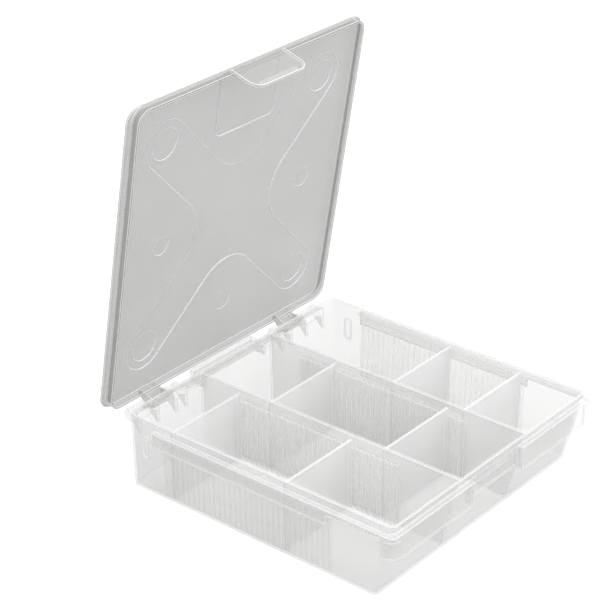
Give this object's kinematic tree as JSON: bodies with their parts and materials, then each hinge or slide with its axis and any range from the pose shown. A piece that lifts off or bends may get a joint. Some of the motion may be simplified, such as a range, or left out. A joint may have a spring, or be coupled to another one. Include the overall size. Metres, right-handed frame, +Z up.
{
  "type": "compartment_storage_box",
  "caption": "Shallow translucent box with a hinged lid, a snap latch flap and rows of compartments parted by lift-out dividers",
  "frame": {"origin": "On the tray's underside, midway between the side walls and midway between the hinge wall and the front wall at the rim.", "axes": "+X along the hinge, +Y from the latch towards the hinge, +Z up; millimetre model, exported in metres."},
  "size_m": [0.165, 0.1732, 0.1987],
  "materials": {
    "polypropylene_clear": "smooth translucent moulding"
  },
  "bodies": {
    "tray_body": {"tray": "polypropylene_clear", "divider_grooves": "polypropylene_clear"},
    "lid_body": {"lid": "polypropylene_clear"},
    "latch_body": {"latch": "polypropylene_clear"},
    "divider_left_back_body": {"divider_left_back": "polypropylene_clear"},
    "divider_left_front_body": {"divider_left_front": "polypropylene_clear"},
    "divider_middle_back_body": {"divider_middle_back": "polypropylene_clear"},
    "divider_middle_front_body": {"divider_middle_front": "polypropylene_clear"},
    "divider_right_back_body": {"divider_right_back": "polypropylene_clear"},
    "divider_right_front_body": {"divider_right_front": "polypropylene_clear"}
  },
  "joints": [
    {"name": "lid_hinge", "type": "hinge", "parent": "tray_body", "child": "lid_body", "pos_m": [0, 0.0845, 0.0332], "axis": [-1, 0, 0], "range_deg": [-80.5, 29.5]},
    {"name": "latch_flex", "type": "hinge", "parent": "lid_body", "child": "latch_body", "pos_m": [0, 0.0612, 0.19786], "axis": [-1, 0, 0], "range_deg": [-4.5, 25], "stiffness_Nm_per_rad": 0.1},
    {"name": "divider_left_back_lift", "type": "slide", "parent": "tray_body", "child": "divider_left_back_body", "axis": [0, 0, 1], "range_m": [0, 0.045]},
    {"name": "divider_left_front_lift", "type": "slide", "parent": "tray_body", "child": "divider_left_front_body", "axis": [0, 0, 1], "range_m": [0, 0.045]},
    {"name": "divider_middle_back_lift", "type": "slide", "parent": "tray_body", "child": "divider_middle_back_body", "axis": [0, 0, 1], "range_m": [0, 0.045]},
    {"name": "divider_middle_front_lift", "type": "slide", "parent": "tray_body", "child": "divider_middle_front_body", "axis": [0, 0, 1], "range_m": [0, 0.045]},
    {"name": "divider_right_back_lift", "type": "slide", "parent": "tray_body", "child": "divider_right_back_body", "axis": [0, 0, 1], "range_m": [0, 0.045]},
    {"name": "divider_right_front_lift", "type": "slide", "parent": "tray_body", "child": "divider_right_front_body", "axis": [0, 0, 1], "range_m": [0, 0.045]}
  ]
}
